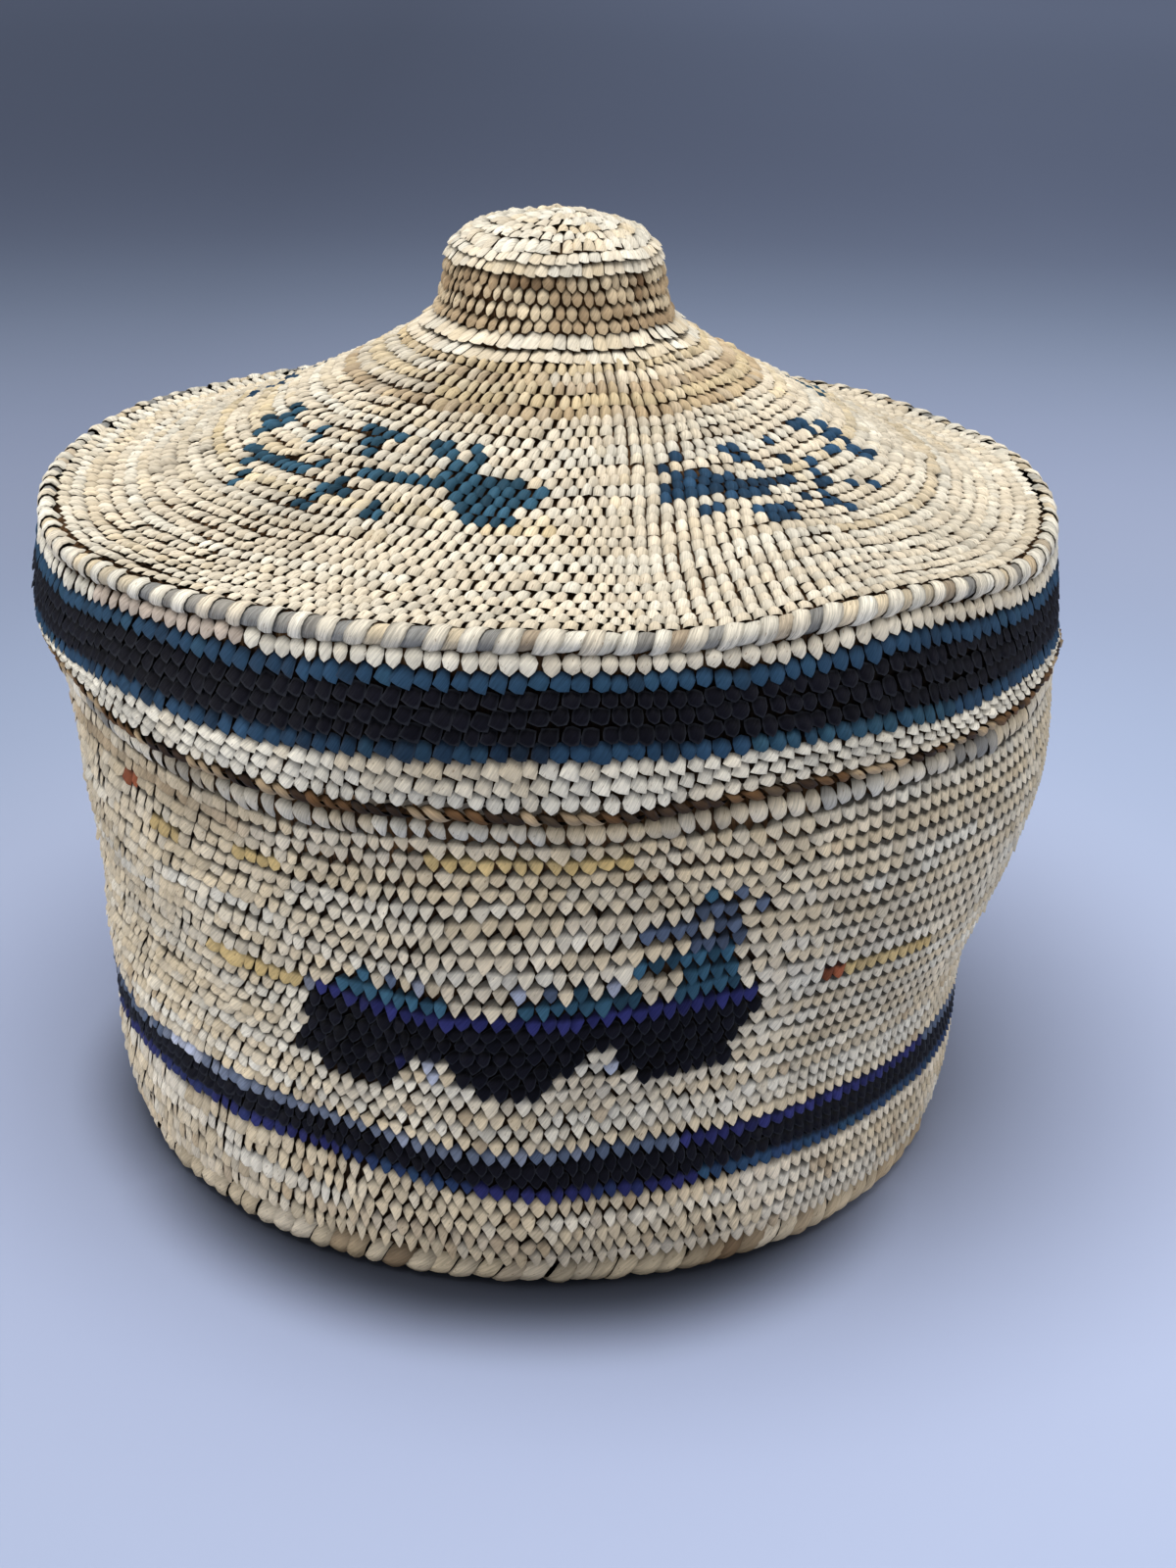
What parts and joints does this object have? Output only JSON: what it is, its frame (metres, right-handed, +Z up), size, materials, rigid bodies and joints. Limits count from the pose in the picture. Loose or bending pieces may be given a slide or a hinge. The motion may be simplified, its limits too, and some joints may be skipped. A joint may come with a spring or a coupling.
{
  "type": "lidded basket",
  "caption": "Round lidded trinket basket in wrapped twining, with a hollow woven knob, dark bands and small woven figures; the lid lifts off a hidden neck.",
  "frame": {"origin": "centre of the base underside, on the surface the basket stands on", "axes": "+Z up along the basket's round axis and the way the lid lifts; -Y faces the viewer of the picture"},
  "size_m": [0.1328, 0.1328, 0.1208],
  "materials": {
    "natural_grass": "dry split grass, satin, cream to tan",
    "pale_grass": "bleached split grass, satin, off-white",
    "cedar_bark": "inner bark strips, matte, fibrous",
    "cedar_braid": "braided bark edge, matte, brown to black",
    "blue_grass": "dyed split grass, satin, teal blue",
    "royal_blue_grass": "dyed split grass, satin, royal blue",
    "slate_grass": "dyed split grass, faded slate blue",
    "navy_grass": "dyed split grass, satin, near black"
  },
  "bodies": {
    "basket": {"base_plait": "cedar_bark", "base_courses": "natural_grass", "foot_course": "natural_grass", "body_warps": "cedar_bark", "wall_lower_courses": "natural_grass", "lower_band_bottom_blue": "royal_blue_grass", "lower_band_dark": "navy_grass", "lower_band_top_slate": "slate_grass", "wall_plain_courses": "natural_grass", "wall_figure_courses": "natural_grass", "wall_upper_courses": "natural_grass", "shoulder_course": "pale_grass", "neck_courses": "natural_grass", "body_rim_braid": "cedar_braid"},
    "lid": {"lid_warps": "cedar_bark", "lid_rim_braid": "cedar_braid", "lid_skirt_white_courses": "pale_grass", "lid_band_bottom_blue": "blue_grass", "lid_band_dark": "navy_grass", "lid_band_top_blue": "blue_grass", "lid_side_white_course": "pale_grass", "lid_edge_ridge": "pale_grass", "lid_outer_courses": "pale_grass", "lid_figure_courses": "pale_grass", "lid_shoulder_courses": "natural_grass", "knob_foot_ridge": "pale_grass", "knob_neck_courses": "natural_grass", "knob_top_ridge": "pale_grass", "knob_crown_courses": "natural_grass"}
  },
  "joints": [
    {"name": "lid_lift", "type": "slide", "parent": "basket", "child": "lid", "axis": [0, 0, 1], "range_m": [0, 0.06]}
  ]
}
